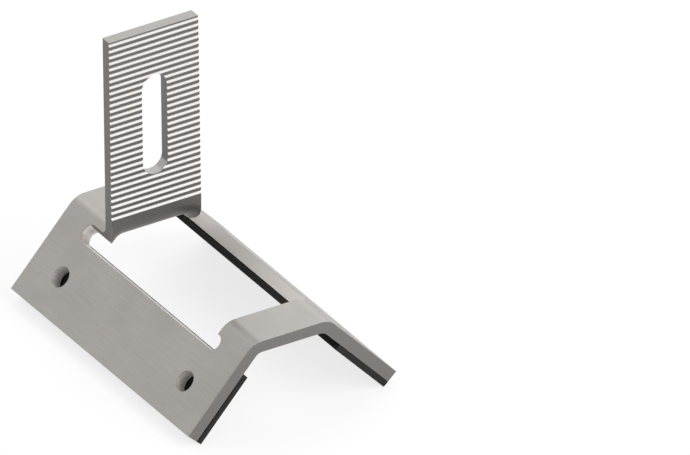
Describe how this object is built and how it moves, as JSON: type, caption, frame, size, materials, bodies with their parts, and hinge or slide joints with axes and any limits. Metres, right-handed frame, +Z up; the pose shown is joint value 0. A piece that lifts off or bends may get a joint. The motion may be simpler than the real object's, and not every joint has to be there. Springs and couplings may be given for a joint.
{
  "type": "roof hook",
  "caption": "Bent steel saddle with rubber pads under its slanted legs and an upright plate with grooves and a slot; it sits over a roof rib and carries a rail.",
  "frame": {"origin": "middle of the footprint, on the plane that the lower edges of the two pads rest on", "axes": "+Z up along the plate; +Y along the saddle's ridge, from the free bridge towards the plate; +X across the saddle, from the left leg to the right one"},
  "size_m": [0.07, 0.1, 0.0917],
  "materials": {
    "stainless_steel": "satin",
    "rubber": "matt black"
  },
  "bodies": {
    "root": {"hook_body": "stainless_steel", "rubber_pad_left": "rubber", "rubber_pad_right": "rubber"}
  },
  "joints": []
}
